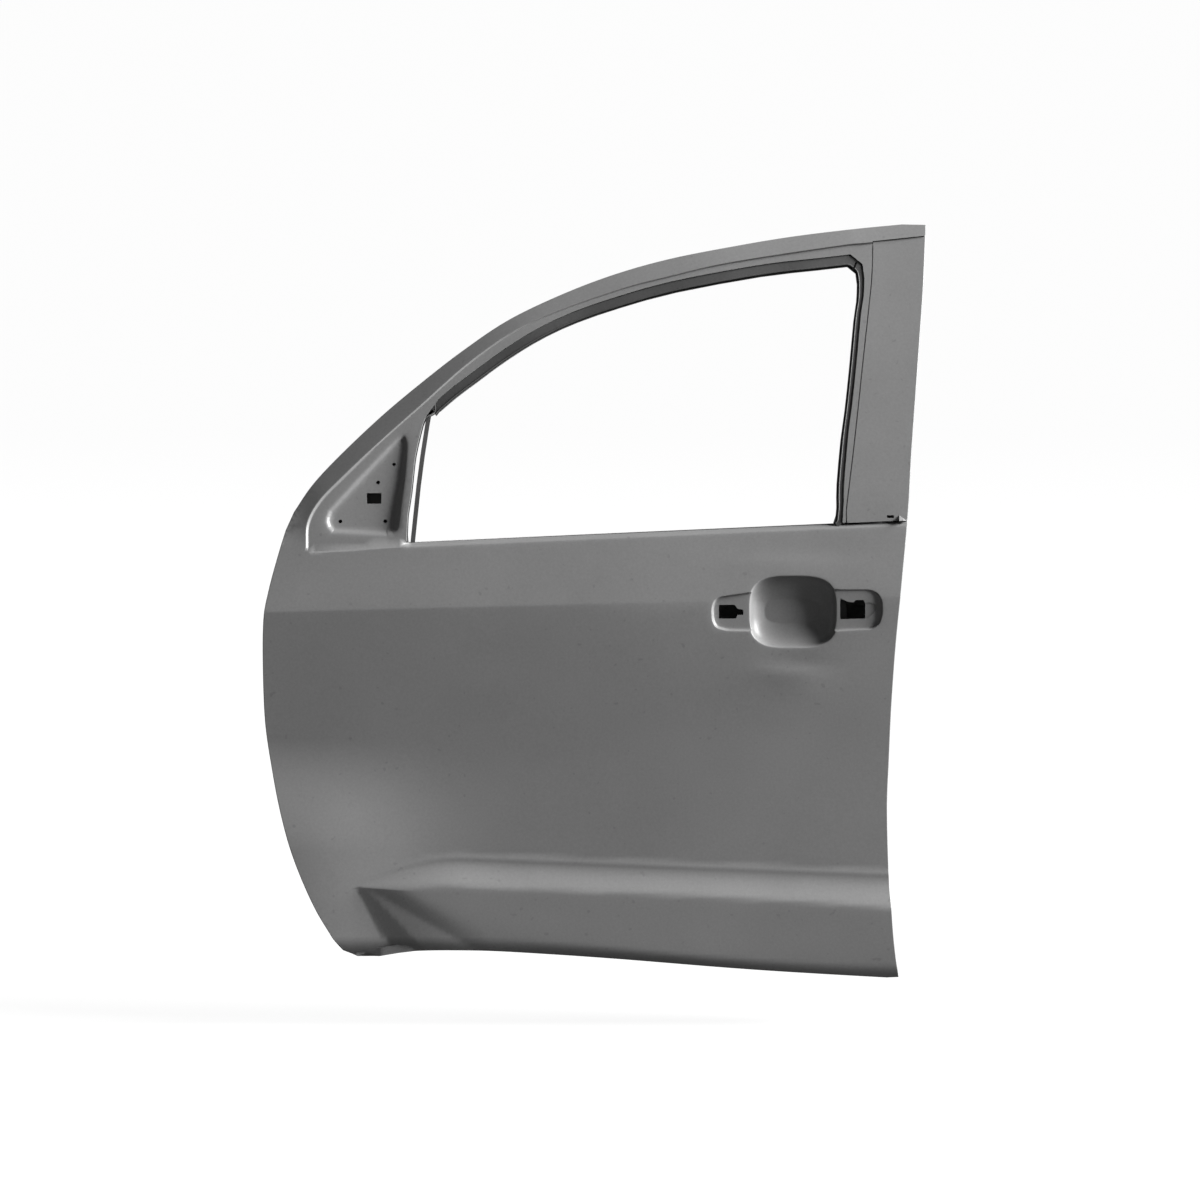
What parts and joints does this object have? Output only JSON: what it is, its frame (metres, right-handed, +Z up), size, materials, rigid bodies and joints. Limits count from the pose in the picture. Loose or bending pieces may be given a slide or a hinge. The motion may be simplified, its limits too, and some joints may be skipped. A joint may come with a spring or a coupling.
{
  "type": "car door shell",
  "caption": "Bare pressed-steel front left car door shell with window frame, mirror pocket, handle recess, inner panel, glass channels and side impact beam, in grey primer.",
  "frame": {"origin": "middle of the upper hinge's mounting face on the inner panel's front wall", "axes": "+X from the hinges to the latch, +Y from the outer skin towards the cabin, +Z up as the door hangs"},
  "size_m": [1.1312, 0.2226, 1.283],
  "materials": {
    "primer": "satin grey electro-coat primer",
    "dark_primer": "thinner, darker primer on rolled channel",
    "zinc": "zinc-plated weld nuts",
    "mastic": "matt black anti-flutter mastic"
  },
  "bodies": {
    "root": {"outer_skin": "primer", "rear_pillar_panel": "primer", "inner_panel": "primer", "mirror_reinforcement": "primer", "upper_hinge_reinforcement": "primer", "lower_hinge_reinforcement": "primer", "check_link_reinforcement": "primer", "latch_reinforcement": "primer", "front_handle_bracket": "primer", "rear_handle_bracket": "primer", "outer_belt_reinforcement": "primer", "inner_belt_reinforcement": "primer", "impact_beam": "primer", "beam_front_bracket": "primer", "beam_rear_bracket": "primer", "header_run_channel": "dark_primer", "rear_run_channel": "dark_primer", "division_channel": "dark_primer", "rear_lower_channel": "dark_primer", "upper_hinge_nut_1": "zinc", "upper_hinge_nut_2": "zinc", "lower_hinge_nut_1": "zinc", "lower_hinge_nut_2": "zinc", "mirror_nut_1": "zinc", "mirror_nut_2": "zinc", "mirror_nut_3": "zinc", "mastic_pad_1": "mastic", "mastic_pad_2": "mastic", "mastic_pad_3": "mastic", "mastic_pad_4": "mastic"}
  },
  "joints": []
}
